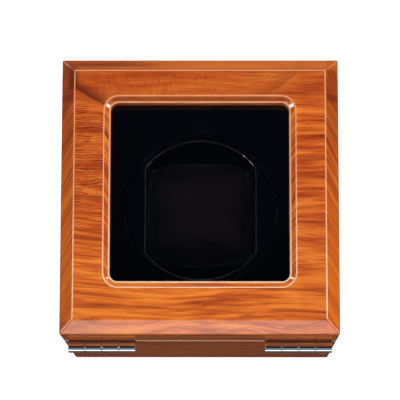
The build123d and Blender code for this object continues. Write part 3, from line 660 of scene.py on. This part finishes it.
def makeLidPanel(values):
    low, high = boxOf("lid_top_panel")
    width, length = high.x - low.x, high.y - low.y
    panel = cube("lidPanel", low, high)
    onTop = high.z - 0.01
    roundEdges(panel, values["bevel"], 1, lambda a, b: a.z > onTop and b.z > onTop)

    openingWidth = width - 2 * (values["bevel"] + values["stile"] + values["windowBevel"])
    openingLength = (length - 2 * values["bevel"] - values["hingeRail"] - values["frontRail"]
                     - 2 * values["windowBevel"])
    y = (values["hingeRail"] - values["frontRail"]) / 2
    over, radius = 1.0, values["windowRadius"]
    foot = high.z - values["windowBevelDepth"]
    flare = values["windowBevel"] * (1 + over / values["windowBevelDepth"])
    cut(panel, loft("windowTool", [
        roundedLoop(openingWidth, openingLength, radius, low.z - over, y),
        roundedLoop(openingWidth, openingLength, radius, foot, y),
        roundedLoop(openingWidth + 2 * flare, openingLength + 2 * flare, radius + flare,
                    high.z + over, y)]))
    lap = values["rabbetLap"]
    cut(panel, loft("rabbetTool", [
        roundedLoop(openingWidth + 2 * lap, openingLength + 2 * lap, radius, low.z - over, y),
        roundedLoop(openingWidth + 2 * lap, openingLength + 2 * lap, radius,
                    high.z - values["rabbetTop"], y)]))

    bandX, bandY = width / 2 - values["outerBand"], length / 2 - values["outerBand"]

    def outside(*points):
        return all(abs(point.x) > bandX or abs(point.y) > bandY for point in points)

    def windowEdge(a, b):
        return not (outside(a) or outside(b)) and any(
            abs(a.z - z) < 0.02 and abs(b.z - z) < 0.02 for z in (high.z, foot))

    roundEdges(panel, values["windowRounding"], 4, windowEdge)
    # every outer edge but the rim that sits on the rails
    roundEdges(panel, values["ridgeRounding"], 4,
               lambda a, b: outside(a, b) and max(a.z, b.z) > low.z + 0.01)
    smooth(panel)
    dress(panel, materials["panel"], "lid", "lid_top_panel")
    # the rounded ridges and window edges are coloured with the painted highlight
    paint(panel, materials["edge"], lambda centre, normal: 0.83 < normal.z < 0.97
          and (normal.y > -0.1 or centre.y > -50))

    # a small rounded bead where the bevel ends and the opening's wall begins, coloured all over
    # with the painted highlight
    outwards, lift = values["beadSet"], values["beadLift"]
    bead = roundedLoop(openingWidth + outwards, openingLength + outwards, radius,
                       foot + lift, y, 12)
    bead = tubeAlong(bead, "windowBead", values["beadRadius"])
    dress(bead, materials["edge"], "lid")


makeLidPanel(lidPanel)
print("lid panel made")


# Lid rails, drawn in a little towards the joint so that the case's chamfer shows below them

lidRail = {"drawIn": 0.6}


def makeLidRail(side, values):
    node = "lid_rail_" + side
    rail = copyOfNode(node, side + "Rail")
    low, high = boxOf(node)
    reach = boxOf("lid_top_panel")[1].x
    openOn(rail, "VERT", lambda place: place.z < low.z + 0.1
           and max(abs(place.x), abs(place.y)) > reach - 0.1)
    part = 1 - values["drawIn"] / reach
    bpy.ops.transform.resize(value=(part, part, 1), center_override=(0, 0, 0))
    closeEdit()
    smooth(rail)
    dress(rail, materials[boardFinish[side]], "lid", node)


for side in boardFinish:
    makeLidRail(side, lidRail)
print("lid rails made")


# Case walls with a narrow chamfer that catches the light at the joint line and carries a
# painted highlight

caseWall = {"chamfer": 0.9, "tool": 10.0}
wallFaces = {"hinge": (0, -1), "front": (0, 1), "left": (-1, 0), "right": (1, 0)}


def makeCaseWall(side, across, values):
    node = "case_wall_" + side
    wall = copyOfNode(node, side + "Wall")
    outer = boxOf("lid_top_panel")[1].x
    top = boxOf(node)[1].z
    half, over = values["tool"] / 2, 1.5 * outer
    sunk = (half - values["chamfer"] / math.sqrt(2)) * math.sqrt(0.5)
    wide, long = (half, over) if across[0] else (over, half)
    tool = cube("chamferTool", (-wide, -long, -half), (wide, long, half))
    tool.rotation_euler = (0, math.pi / 4, 0) if across[0] else (math.pi / 4, 0, 0)
    tool.location = Vector((across[0] * (outer + sunk), across[1] * (outer + sunk),
                            top + sunk)) * mm
    settle(tool)
    cut(wall, tool)
    smooth(wall)
    dress(wall, materials[boardFinish[side]], "case", node)
    slope = Vector((across[0], across[1], 1)).normalized()
    # the chamfer faces are coloured with the painted highlight
    paint(wall, materials["edge"], lambda centre, normal: normal.dot(slope) > 0.97)


for side, across in wallFaces.items():
    makeCaseWall(side, across, caseWall)
print("case walls made")


# Hinges: polished knuckles with rounded ends on two plain leaves

hinge = {
    "length": 33.0, "knuckles": 4, "gap": 0.3, "radius": 2.9, "rounding": 0.12, "bore": 0.84,
    "notch": 0.25, "standoff": 0.15, "leaf": 1.1, "leafRounding": 0.12,
    "screwOffset": 10.0, "screwY": -63.25, "screwHead": 1.8, "screwHeadHeight": 0.9,
    "screwShank": 0.9, "screwLength": 8.0, "crossWidth": 0.17, "crossReach": 1.05,
    "crossDepth": 0.55, "sinkTip": 0.6, "sinkRoom": 0.25, "sinkDepth": 0.7,
}


def rod(name, radius, start, length, y, z, rounding=0.0):
    # A rod along X
    bpy.ops.mesh.primitive_cylinder_add(vertices=72, radius=radius * mm, depth=length * mm,
                                        location=((start + length / 2) * mm, y * mm, z * mm),
                                        rotation=(0, math.pi / 2, 0))
    obj = added(name)
    if rounding:
        ends = (start, start + length)
        roundEdges(obj, rounding, 4, lambda a, b: any(
            abs(a.x - x) < 0.01 and abs(b.x - x) < 0.01 for x in ends))
    return obj


def makeHingeLeaf(sideName, whose, values):
    node = f"{sideName}_hinge_{whose}_leaf"
    low, high = boxOf(node)
    own = 1 if whose == "case" else 0
    y, z = low.y + values["radius"], (low.z + high.z) / 2
    gap, count = values["gap"], values["knuckles"]
    length = (values["length"] - (count - 1) * gap) / count
    outward = -1 if whose == "case" else 1
    face = z + outward * values["standoff"]
    plateLow, plateHigh = sorted((face, face + outward * values["leaf"]))
    leaf = cube(node.replace("_", "-"), (low.x, y, plateLow), (high.x, high.y, plateHigh))
    roundEdges(leaf, values["leafRounding"], 2, lambda a, b: a.y > y + 1 and b.y > y + 1)
    for index in range(count):
        start = low.x + index * (length + gap)
        if index % 2 != own:
            cut(leaf, rod("notch", values["radius"] + values["notch"], start - gap,
                          length + 2 * gap, y, z))
    for index in range(count):
        start = low.x + index * (length + gap)
        if index % 2 == own:
            weld(leaf, rod("knuckle", values["radius"], start, length, y, z,
                           values["rounding"]))
    cut(leaf, rod("bore", values["bore"], low.x - 1, values["length"] + 2, y, z))
    middle = (low.x + high.x) / 2
    depth = values["screwHeadHeight"] + values["sinkDepth"]
    sinkMiddle = face + outward * (depth / 2 - 2 * values["standoff"])
    for dx in (-values["screwOffset"], values["screwOffset"]):
        bpy.ops.mesh.primitive_cone_add(
            vertices=32, radius1=values["sinkTip"] * mm,
            radius2=(values["screwHead"] + values["sinkRoom"]) * mm, depth=depth * mm,
            location=Vector((middle + dx, values["screwY"], sinkMiddle)) * mm,
            rotation=(0 if whose == "case" else math.pi, 0, 0))
        cut(leaf, added("sink"))
    smooth(leaf, 40)
    dress(leaf, materials["hinge_chrome"], whose, node)


def makeHingeScrews(whose, values):
    # Countersunk screws with a cross recess: one is modelled, the rest are copies
    node = whose + "_hinge_screws"
    low, high = boxOf(node)
    outward = 1 if whose == "case" else -1
    face = high.z if whose == "case" else low.z
    head = values["screwHeadHeight"]
    bpy.ops.mesh.primitive_cone_add(vertices=40, radius1=values["screwShank"] * mm,
                                    radius2=values["screwHead"] * mm, depth=head * mm,
                                    location=(0, 0, -head / 2 * mm))
    screw = added("screw")
    weld(screw, post("shank", values["screwShank"], -values["screwLength"], -head / 2))
    cross = (values["crossWidth"], values["crossReach"])
    for wide, long in (cross, cross[::-1]):
        cut(screw, cube("recess", (-wide, -long, -values["crossDepth"]), (wide, long, 0.5)))
    smooth(screw, 40)
    screws = []
    ends = (values["screwHead"], values["screwHead"] + 2 * values["screwOffset"])
    for x in (*(low.x + end for end in ends), *(high.x - end for end in ends[::-1])):
        twin = screw.copy()
        twin.data = screw.data.copy()
        bpy.context.scene.collection.objects.link(twin)
        twin.rotation_euler = (0 if outward > 0 else math.pi, 0, x)
        twin.location = Vector((x, values["screwY"], face)) * mm
        settle(twin)
        screws.append(twin)
    bpy.data.objects.remove(screw)
    dress(joined(screws, whose + "HingeScrews"), materials["hinge_chrome"], whose, node)


for whose in ("case", "lid"):
    for sideName in ("left", "right"):
        makeHingeLeaf(sideName, whose, hinge)
    makeHingeScrews(whose, hinge)
print("hinges made")


# Drum: a moulded cup with two hollow cheeks and softly rounded rims

drum = {
    "radius": 37.5, "wall": 2.5, "bottom": 30.0, "floor": 3.0, "rim": 75.8, "rimRounding": 1.0,
    "slot": 55.0, "slotCorner": 1.2, "slotRounding": 0.8, "hubHole": 7.2, "segments": 192,
    "ledge": (2.0, 30.0, 3.0), "ledgeTop": 41.2,
}


def keepSide(obj, place, outward):
    # Cuts obj by a plane, closes the cut and throws away what lies outward of it
    openWhole(obj)
    bpy.ops.mesh.bisect(plane_co=Vector(place) * mm, plane_no=outward, use_fill=True,
                        clear_outer=True)
    closeEdit()


def makeDrum(values):
    inner = values["radius"] - values["wall"]
    half = values["slot"] / 2
    floorTop = values["bottom"] + values["floor"]
    cup = post("drumCup", values["radius"], values["bottom"], values["rim"],
               segments=values["segments"])
    top = values["rim"]
    roundEdges(cup, values["rimRounding"], 5, lambda a, b: min(a.z, b.z) > top - 0.01)
    slotTool = post("slotTool", inner, floorTop, top + 2, segments=values["segments"])
    keepSide(slotTool, (half, 0, 0), (1, 0, 0))
    keepSide(slotTool, (-half, 0, 0), (-1, 0, 0))
    corner = math.sqrt(inner ** 2 - half ** 2)
    roundEdges(slotTool, values["slotCorner"], 5, lambda a, b: abs(a.z - b.z) > 1
               and abs(abs(a.x) - half) < 0.01 and abs(abs(a.y) - corner) < 0.6)
    cut(cup, slotTool)
    roundEdges(cup, values["slotRounding"], 4, lambda a, b: min(a.z, b.z) > top - 0.01
               and max(math.hypot(a.x, a.y), math.hypot(b.x, b.y)) < inner + 0.3)
    for side in (-1, 1):
        hollow = post("hollow", inner, values["bottom"] - 1, top - values["wall"],
                      segments=values["segments"])
        keepSide(hollow, (side * (half + values["wall"]), 0, 0), (-side, 0, 0))
        cut(cup, hollow)
    cut(cup, post("hubHole", values["hubHole"], values["bottom"] - 1, floorTop + 1,
                  segments=64))
    width, length, height = values["ledge"]
    for side in (-1, 1):
        x = sorted((side * (half - width), side * (half + 1)))
        weld(cup, cube("ledge", (x[0], -length / 2, values["ledgeTop"] - height),
                       (x[1], length / 2, values["ledgeTop"])))
    smooth(cup)
    dress(cup, materials["drum_black"], "drum", "drum_cup")


makeDrum(drum)
print("drum made")


# Fascia round the drum, with a rounded edge to its hole

fascia = {"hole": 39.25, "rounding": 0.8}


def makeFascia(values):
    low, high = boxOf("fascia_board")
    board = cube("fasciaBoard", low, high)
    cut(board, post("hole", values["hole"], low.z - 1, high.z + 1, segments=160))
    roundEdges(board, values["rounding"], 3, lambda a, b: min(a.z, b.z) > high.z - 0.01
               and max(math.hypot(a.x, a.y), math.hypot(b.x, b.y)) < values["hole"] + 1)
    smooth(board)
    dress(board, materials["black_velvet"], "case", "fascia_board")


makeFascia(fascia)
print("fascia made")


# Padded cushion: an air-filled cloth shell, then its end seams

cushion = {
    "inset": 1.3, "voxel": 1.4, "pressure": 4.0, "cap": 1.5, "frames": 20, "fill": 0.8,
    "quality": 5, "mass": 0.15, "shrink": -0.02, "pipingLift": 0.15,
    "seam": 24.6, "seamWidth": 45.0, "seamHeight": 27.5, "seamCorner": 9.5, "piping": 0.6,
    "cheek": 27.35, "ledge": 41.35,
}


def puff(pad, values):
    # Blows the cloth up from inside; no point moves further than the cap
    start = [point.co.copy() for point in pad.data.vertices]
    air = pad.modifiers.new("air", "CLOTH")
    air.settings.quality = values["quality"]
    air.settings.mass = values["mass"]
    air.settings.use_pressure = True
    air.settings.uniform_pressure_force = values["pressure"]
    air.settings.shrink_min = values["shrink"]
    air.settings.effector_weights.gravity = 0
    air.point_cache.frame_start, air.point_cache.frame_end = 1, values["frames"]
    for number in range(1, values["frames"] + 1):
        bpy.context.scene.frame_set(number)
    blown = pad.evaluated_get(bpy.context.evaluated_depsgraph_get()).data
    blown = [point.co.copy() for point in blown.vertices]
    pad.modifiers.clear()
    for point, before, after in zip(pad.data.vertices, start, blown):
        step = after - before
        point.co = before + step * min(1, values["cap"] * mm / max(step.length, 1e-9))
    bpy.context.scene.frame_set(1)


def makeCushion(values):
    low, high = boxOf("watch_cushion")
    middle = (low + high) / 2
    pad = copyOfNode("watch_cushion", "paddedCushion")
    size = [1 - 2 * values["inset"] / side for side in high - low]
    pad.scale = size
    pad.location = Vector([place * (1 - part) for place, part in zip(middle, size)]) * mm
    settle(pad)
    addModifier(pad, "REMESH", mode="VOXEL", voxel_size=values["voxel"] * mm)
    puff(pad, values)
    addModifier(pad, "SUBSURF", levels=1, render_levels=1)
    for point in pad.data.vertices:      # clear of the cheeks and ledges it sits between
        point.co.x = max(-values["cheek"] * mm, min(values["cheek"] * mm, point.co.x))
        point.co.z = max(values["ledge"] * mm, point.co.z)
    smooth(pad, 60)
    for side in (-1, 1):
        seam = roundedLoop(values["seamWidth"], values["seamHeight"], values["seamCorner"], 0)
        openOn(seam, "EDGE", lambda a, b: True)
        bpy.ops.mesh.subdivide(number_cuts=5)
        closeEdit()
        seam.rotation_euler = (math.pi / 2, 0, math.pi / 2)
        seam.location = Vector((side * values["seam"], 0, middle.z)) * mm
        settle(seam)
        addModifier(seam, "SHRINKWRAP", target=pad, wrap_method="NEAREST_SURFACEPOINT",
                    offset=values["pipingLift"] * mm)
        seam = tubeAlong(seam, "cushionPiping-" + ("left" if side < 0 else "right"),
                         values["piping"], 2)
        dress(seam, materials["cushion_leather"], "drum")
    dress(pad, materials["cushion_leather"], "drum", "watch_cushion")


makeCushion(cushion)
print("cushion made")


# Selector knobs with fluted discs, and the marks printed round them

knobs = {
    "radius": 6.0, "disc": 2.0, "discRounding": 0.3, "face": 1.0, "stem": 1.5, "sunk": 0.3,
    "grip": 3.0, "gripShort": 0.35, "gripRounding": 0.45,
    "flutes": 24, "fluteRadius": 0.5, "fluteOut": 0.15,
    "pointer": (1.2, 5.0, 0.28), "pointerRounding": 0.2,     # start, end, half width
    "ink": 0.04, "inkSunk": 0.05, "tickInner": 6.9, "tickOuter": 7.9, "tickHalf": 0.14,
    "labelReach": 8.75, "number": 1.7, "arrow": 0.75,
    "stops": {"direction": (-45, 0, 45), "turns": (0, 45, 90, 135)},
    "arrows": ((-1,), (-1, 1), (1,)),        # anticlockwise, both ways, clockwise
}


def makeKnob(name, values):
    node = name + "_knob"
    low, high = boxOf(node)
    x, y = (low.x + high.x) / 2, (low.y + high.y) / 2
    top = boxOf("bottom_panel")[1].z - values["sunk"]
    knob = post(name + "Knob", values["radius"], top - values["disc"], top, x, y, 96)
    roundEdges(knob, values["discRounding"], 3, lambda a, b: abs(a.z - b.z) < 0.01)
    flutes = []
    reach = values["radius"] + values["fluteOut"]
    for index in range(values["flutes"]):
        turn = 2 * math.pi * index / values["flutes"]
        flutes.append(post("flute", values["fluteRadius"], top - 3, top + 1,
                           x + reach * math.cos(turn), y + reach * math.sin(turn), 10))
    cut(knob, joined(flutes, "flutes"))
    half, long = values["grip"] / 2, values["radius"] - values["gripShort"]
    grip = cube("grip", (x - half, y - long, values["face"]),
                (x + half, y + long, top - values["disc"] / 2))
    roundEdges(grip, values["gripRounding"], 3, lambda a, b: min(a.z, b.z) < top - 1.5)
    weld(knob, grip)
    weld(knob, post("stem", values["stem"], top - 0.5, high.z, x, y))
    smooth(knob, 40)
    dress(knob, materials["control_black"], node, node)
    start, end, half = values["pointer"]
    pointer = cube(name + "Pointer", (x - half, y + start, values["face"] - values["ink"]),
                   (x + half, y + end, values["face"] + values["inkSunk"]))
    roundEdges(pointer, values["pointerRounding"], 3,
               lambda a, b: abs(a.z - b.z) > values["inkSunk"])
    dress(pointer, materials["marks"], node)
    return x, y


def makeMarks(places, values):
    low = boxOf("control_plate")[0].z
    ink = (low - values["ink"], low + values["inkSunk"])
    marks = []
    for name, (x, y) in places.items():
        for index, degrees in enumerate(values["stops"][name]):
            turn = math.radians(90 + degrees)
            out = Vector((math.cos(turn), math.sin(turn), 0))
            tick = cube("tick", (values["tickInner"], -values["tickHalf"], ink[0]),
                        (values["tickOuter"], values["tickHalf"], ink[1]))
            tick.rotation_euler = (0, 0, turn)
            tick.location = Vector((x, y, 0)) * mm
            settle(tick)
            marks.append(tick)
            spot = Vector((x, y, ink[0])) + out * values["labelReach"]
            if name == "turns":
                bpy.ops.object.text_add(location=spot * mm, rotation=(0, math.pi, 0))
                label = bpy.context.active_object.data
                label.body, label.size = str(index + 1), values["number"] * mm
                label.align_x, label.align_y = "CENTER", "CENTER"
                label.extrude = values["ink"] / 2 * mm
                bpy.ops.object.convert(target="MESH")
                marks.append(added("number"))
                continue
            ways = values["arrows"][index]
            for way in ways:
                bpy.ops.mesh.primitive_cylinder_add(vertices=3, radius=values["arrow"] * mm,
                                                    depth=(ink[1] - ink[0]) * mm)
                arrow = bpy.context.active_object
                arrow.rotation_euler = (0, 0, turn if way > 0 else turn + math.pi)
                shift = Vector((-out.y, out.x, 0)) * way * (len(ways) - 1) * values["arrow"]
                arrow.location = (spot + shift + Vector((0, 0, (ink[1] - ink[0]) / 2))) * mm
                settle(arrow)
                marks.append(arrow)
    dress(joined(marks, "controlMarks"), materials["marks"], "case")


makeMarks({name: makeKnob(name, knobs) for name in ("direction", "turns")}, knobs)
print("knobs and marks made")


# Studio: white floor, lamps for plain light, cards that only reflections see

floorValues = {
    "grey": 0.6, "sunk": 0.05, "extent": 40,      # the extent is in metres
    "glow": 0.8, "glowNear": 150.0, "glowFar": 900.0,
    # mirrors see the floor dimly, with a painted shadow that darkens it close to the case
    "mirrored": 0.12, "contactShade": 0.2, "contactNear": 25.0, "contactFar": 70.0,
}
backdrop = {"mirrored": 0.55, "matt": 0.05, "behindPane": 0.7}
middle = (0, 0, 120)
lamps = {
    # name: place, target, size, brightness, what shows it, beam in degrees
    "skyLamp": ((60, -60, 900), middle, (900, 900), 2.75, "matt", 180),
    "backLamp": ((150, 900, 620), middle, (700, 400), 2.8, "matt", 180),
    "rightLamp": ((900, -100, 560), middle, (600, 400), 1.2, "matt", 180),
    "frontLamp": ((0, -900, 160), (0, 0, 50), (700, 300), 3.6, "matt", 180),
    "nearGleam": ((0, -330, 147), (0, -64, 120), (700, 78), 2.3, "gloss", 180),
}
pairedLamps = {      # one on each side; places are those of the right one
    "farCornerGleam": ((431, -88, 206), (-44, 45, 124), (190, 120), 28.0, "gloss", 28),
    "nearCornerGleam": ((448, 300, 152), (-44, -42, 124), (80, 40), 15.0, "gloss", 180),
    "highGleam": ((520, -370, 490), (-25, 22, 75), (320, 220), 170.0, "below pane", 180),
}
cards = {
    # name: place, target, size, colour, whether what lies below the pane shows it
    "overheadCard": ((0, 10, 760), (0, 10, 0), (700, 860), (0.008, 0.011, 0.022, 1), True),
    "nearCard": ((0, -560, 620), middle, (900, 440), (0.28, 0.33, 0.34, 1), False),
    "lowNearCard": ((0, -480, 302), (0, -70, 92), (900, 130), (0.16, 0.2, 0.22, 1), False),
    "leftCard": ((-640, 0, 100), (0, 0, 100), (900, 460), (0.02, 0.02, 0.02, 1), False),
    "rightCard": ((640, 0, 100), (0, 0, 100), (900, 460), (0.02, 0.02, 0.02, 1), False),
}


def aim(obj, target):
    direction = Vector(target) * mm - obj.location
    obj.rotation_euler = direction.to_track_quat("-Z", "Y").to_euler()


def lamp(name, place, target, size, brightness, shownBy, beam):
    # Shown by matt surfaces, by gloss, or by the gloss below the pane alone; a narrow beam
    # keeps its mirror image out of the views that it isn't aimed at
    light = bpy.data.lights.new(name, "AREA")
    light.shape = "RECTANGLE"
    light.size, light.size_y = size[0] * mm, size[1] * mm
    light.energy = brightness * math.pi * light.size * light.size_y
    if beam < 180:
        half = math.radians(beam / 2)
        light.spread = 2 * half
        light.energy *= 1 - half / math.tan(half)
    if shownBy != "matt":
        light.use_nodes = True
        tree = light.node_tree
        depth = addNode(tree, "LightPath").outputs["Diffuse Depth"]
        tree.links.new(calc(tree, "LESS_THAN", depth, 0.5),
                       tree.nodes["Emission"].inputs["Strength"])
    obj = bpy.data.objects.new(name, light)
    bpy.context.scene.collection.objects.link(obj)
    obj.location = Vector(place) * mm
    aim(obj, target)
    obj.visible_camera = False
    obj.visible_diffuse = shownBy == "matt"
    obj.visible_glossy = shownBy == "gloss"
    obj.visible_transmission = shownBy != "matt"


def card(name, place, target, size, shade, belowPane):
    # A sheet that only reflections show
    bpy.ops.mesh.primitive_plane_add(size=1, location=Vector(place) * mm)
    obj = bpy.context.active_object
    obj.name = name
    obj.scale = (size[0] * mm, size[1] * mm, 1)
    aim(obj, target)
    material, tree, shader = newMaterial(name)
    tree.nodes.remove(shader)
    glow = addNode(tree, "Emission", {"Color": shade, "Strength": 1.0})
    tree.links.new(glow.outputs[0], tree.nodes["Material Output"].inputs["Surface"])
    obj.data.materials.append(material)
    obj.visible_camera = False
    obj.visible_diffuse = False
    obj.visible_transmission = belowPane
    obj.visible_shadow = False
    obj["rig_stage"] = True


def makeFloor(values):
    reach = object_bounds()[1].x / mm
    bpy.ops.mesh.primitive_plane_add(size=values["extent"],
                                     location=(0, 0, -values["sunk"] * mm))
    floor = bpy.context.active_object
    floor.name = "studioFloor"
    material, tree, shader = newMaterial("studioFloor")
    tree.nodes.remove(shader)
    place, _ = placeInMm(tree)
    x, y = axes(tree, place)[:2]
    beyond = []
    for side in (x, y):
        past = calc(tree, "SUBTRACT", calc(tree, "ABSOLUTE", side), reach)
        past = calc(tree, "MAXIMUM", past, 0.0)
        beyond.append(calc(tree, "MULTIPLY", past, past))
    distance = calc(tree, "SQRT", calc(tree, "ADD", *beyond))
    # painted shadow: the floor as mirrors see it grows darker close to the case
    contactShade = fade(tree, distance, values["contactNear"], values["contactFar"],
                   values["contactShade"], 1.0)
    pale = fade(tree, distance, values["glowNear"], values["glowFar"], values["glow"], 1.0)
    path = addNode(tree, "LightPath").outputs
    seen = calc(tree, "MAXIMUM", path["Is Camera Ray"], path["Is Transmission Ray"])
    glow = calc(tree, "ADD", calc(tree, "MULTIPLY", seen, pale),
                product(tree, path["Is Glossy Ray"], contactShade, values["mirrored"]))
    emission = addNode(tree, "Emission", {"Color": (1, 1, 1, 1), "Strength": glow})
    paint = addNode(tree, "BsdfDiffuse", {"Color": (*[values["grey"]] * 3, 1)})
    black = addNode(tree, "BsdfDiffuse", {"Color": (0, 0, 0, 1)})
    mixed = addNode(tree, "MixShader", {0: path["Is Glossy Ray"], 1: paint.outputs[0],
                                        2: black.outputs[0]})
    both = addNode(tree, "AddShader", {0: emission.outputs[0], 1: mixed.outputs[0]})
    tree.links.new(both.outputs[0], tree.nodes["Material Output"].inputs["Surface"])
    floor.data.materials.append(material)
    floor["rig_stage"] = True


def makeWorld(values):
    # White to the camera and through glass, paler grey in mirrors, dim as a source of light
    world = bpy.data.worlds.new("studioWorld")
    bpy.context.scene.world = world
    world.use_nodes = True
    tree = world.node_tree
    background = tree.nodes["Background"]
    background.inputs["Color"].default_value = (1, 1, 1, 1)
    path = addNode(tree, "LightPath").outputs
    through = path["Is Transmission Ray"]
    seen = calc(tree, "MAXIMUM", path["Is Camera Ray"], through)
    seen = calc(tree, "MAXIMUM", seen,
                calc(tree, "MULTIPLY", path["Is Glossy Ray"], values["mirrored"]))
    lit = fade(tree, through, 0.0, 1.0, values["matt"], values["behindPane"])
    bounced = calc(tree, "GREATER_THAN", path["Diffuse Depth"], 0.5)
    level = addNode(tree, "Mix", {0: bounced, 2: seen, 3: lit}, data_type="FLOAT")
    tree.links.new(level.outputs[0], background.inputs["Strength"])


makeFloor(floorValues)
makeWorld(backdrop)
for name, values in lamps.items():
    lamp(name, *values)
for side in (-1, 1):
    for name, (place, target, *rest) in pairedLamps.items():
        lamp(name, (side * place[0], *place[1:]), (side * target[0], *target[1:]), *rest)
for name, values in cards.items():
    card(name, *values)
print("studio lit")

camera = {
    "place": (8.88, -171.24, 1124.17), "turn": (0.1669, 0.0085, 0.0016), "lens": 189.0,
    "sensor": 36, "nearest": 0.01,
}
view = bpy.data.objects.new("camera", bpy.data.cameras.new("camera"))
bpy.context.scene.collection.objects.link(view)
view.location = Vector(camera["place"]) * mm
view.rotation_euler = camera["turn"]
view.data.lens = camera["lens"]
view.data.sensor_width = camera["sensor"]
view.data.clip_start = camera["nearest"]
bpy.context.scene.camera = view
bpy.context.scene.view_settings.view_transform = "Standard"
